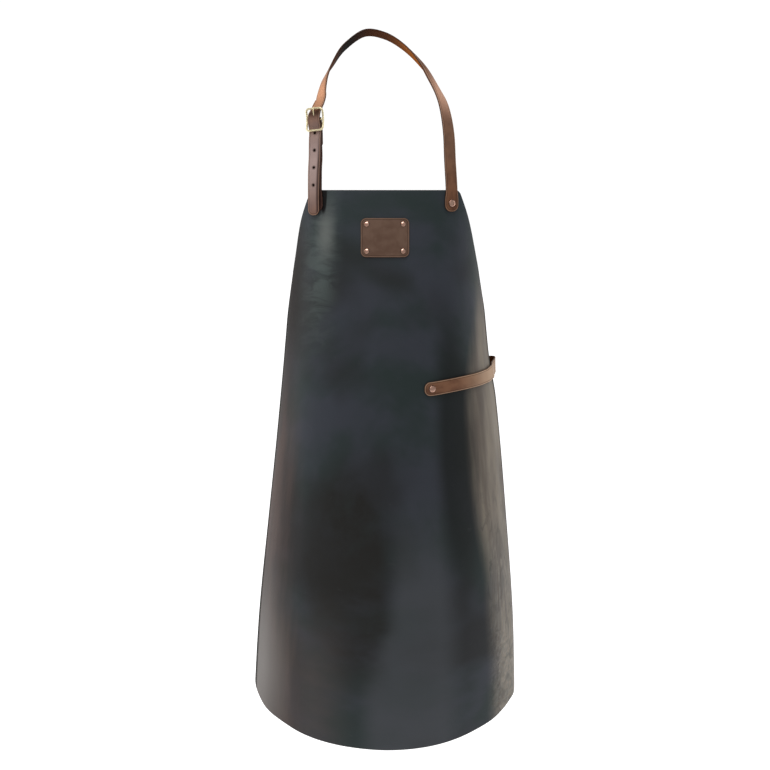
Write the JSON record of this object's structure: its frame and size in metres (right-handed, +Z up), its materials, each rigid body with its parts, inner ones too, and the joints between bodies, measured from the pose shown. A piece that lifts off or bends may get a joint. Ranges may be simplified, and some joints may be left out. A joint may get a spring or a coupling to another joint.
{
  "type": "blacksmith apron",
  "caption": "Leather forge apron worn over the front of the body, with a buckled neck strap, a small bare patch on the bib and a towel strap on the hip.",
  "frame": {"origin": "where the neck strap crosses the nape of the wearer's neck", "axes": "+Z up, -Y ahead of the wearer, +X to the wearer's left, which is the side of the towel strap"},
  "size_m": [0.4834, 0.212, 1.2429],
  "materials": {
    "hide": "oiled blue-black cowhide with a soft sheen and browner flanks",
    "strap_leather": "waxed mid-brown bridle leather",
    "patch_leather": "matt brown leather",
    "copper": null,
    "brass": "polished brass"
  },
  "bodies": {
    "root": {"apron_body": "hide", "patch": "patch_leather", "patch_rivet_1": "copper", "patch_rivet_2": "copper", "patch_rivet_3": "copper", "patch_rivet_4": "copper", "towel_strap": "strap_leather", "towel_rivet_front": "copper", "towel_rivet_rear": "copper", "neck_rivet_right": "copper", "neck_rivet_left": "copper", "buckle_fold_rivet": "copper", "neck_strap": "strap_leather", "buckle_strap": "strap_leather", "buckle_frame": "brass", "buckle_tongue": "brass"}
  },
  "joints": []
}
